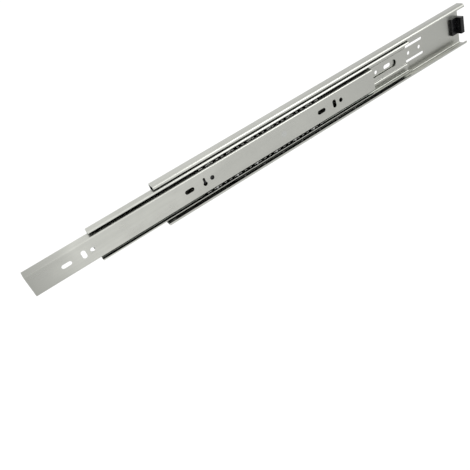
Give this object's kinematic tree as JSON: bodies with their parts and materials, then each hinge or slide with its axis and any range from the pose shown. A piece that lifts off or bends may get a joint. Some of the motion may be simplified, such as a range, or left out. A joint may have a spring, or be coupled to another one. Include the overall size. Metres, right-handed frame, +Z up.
{
  "type": "drawer slide",
  "caption": "Side-mounted full-extension ball-bearing drawer slide in three telescoping steel sections with a disconnect lever.",
  "frame": {"origin": "front end of the cabinet member on its mounting face, on the line of the screw holes", "axes": "+X is the opening direction, +Y points from the cabinet to the drawer, +Z is up"},
  "size_m": [0.533, 0.0127, 0.0454],
  "materials": {
    "zinc_plated_steel": "bright zinc plating, satin",
    "retainer_steel": "thin zinc-plated strip, satin",
    "ball_steel": "polished bearing steel",
    "rivet_steel": "zinc-plated, satin",
    "black_plastic": "moulded black acetal, semi-matt",
    "bumper_plastic": "moulded black plastic, glossy"
  },
  "bodies": {
    "cabinet": {"cabinet_member": "zinc_plated_steel", "rear_bumper": "bumper_plastic"},
    "outer_retainer": {"outer_ball_retainer": "retainer_steel", "outer_lower_ball_1": "ball_steel", "outer_lower_ball_2": "ball_steel", "outer_lower_ball_3": "ball_steel", "outer_lower_ball_4": "ball_steel", "outer_lower_ball_5": "ball_steel", "outer_lower_ball_6": "ball_steel", "outer_lower_ball_7": "ball_steel", "outer_upper_ball_1": "ball_steel", "outer_upper_ball_2": "ball_steel", "outer_upper_ball_3": "ball_steel", "outer_upper_ball_4": "ball_steel", "outer_upper_ball_5": "ball_steel", "outer_upper_ball_6": "ball_steel", "outer_upper_ball_7": "ball_steel"},
    "intermediate": {"intermediate_member": "zinc_plated_steel", "front_latch": "black_plastic"},
    "inner_retainer": {"inner_ball_retainer": "retainer_steel", "inner_lower_ball_1": "ball_steel", "inner_lower_ball_2": "ball_steel", "inner_lower_ball_3": "ball_steel", "inner_lower_ball_4": "ball_steel", "inner_lower_ball_5": "ball_steel", "inner_lower_ball_6": "ball_steel", "inner_upper_ball_1": "ball_steel", "inner_upper_ball_2": "ball_steel", "inner_upper_ball_3": "ball_steel", "inner_upper_ball_4": "ball_steel", "inner_upper_ball_5": "ball_steel", "inner_upper_ball_6": "ball_steel"},
    "drawer": {"drawer_member": "zinc_plated_steel", "lever_rivet": "rivet_steel"},
    "lever": {"disconnect_lever": "black_plastic"}
  },
  "joints": [
    {"name": "intermediate_slide", "type": "slide", "parent": "cabinet", "child": "intermediate", "axis": [1, 0, 0], "range_m": [-0.0705, 0.129]},
    {"name": "drawer_slide", "type": "slide", "parent": "intermediate", "child": "drawer", "axis": [1, 0, 0], "range_m": [-0.0625, 0.138]},
    {"name": "outer_retainer_slide", "type": "slide", "parent": "cabinet", "child": "outer_retainer", "axis": [1, 0, 0], "range_m": [-0.0353, 0.0646]},
    {"name": "inner_retainer_slide", "type": "slide", "parent": "intermediate", "child": "inner_retainer", "axis": [1, 0, 0], "range_m": [-0.0313, 0.0691]},
    {"name": "lever_pivot", "type": "hinge", "parent": "drawer", "child": "lever", "pos_m": [-0.142, 0.0103, 0], "axis": [0, 1, 0], "range_deg": [-4.3, 4.3], "stiffness_Nm_per_rad": 0.05}
  ],
  "couplings": [
    {"joint": "outer_retainer_slide", "follows": "intermediate_slide", "ratio": 0.5},
    {"joint": "inner_retainer_slide", "follows": "drawer_slide", "ratio": 0.5}
  ]
}
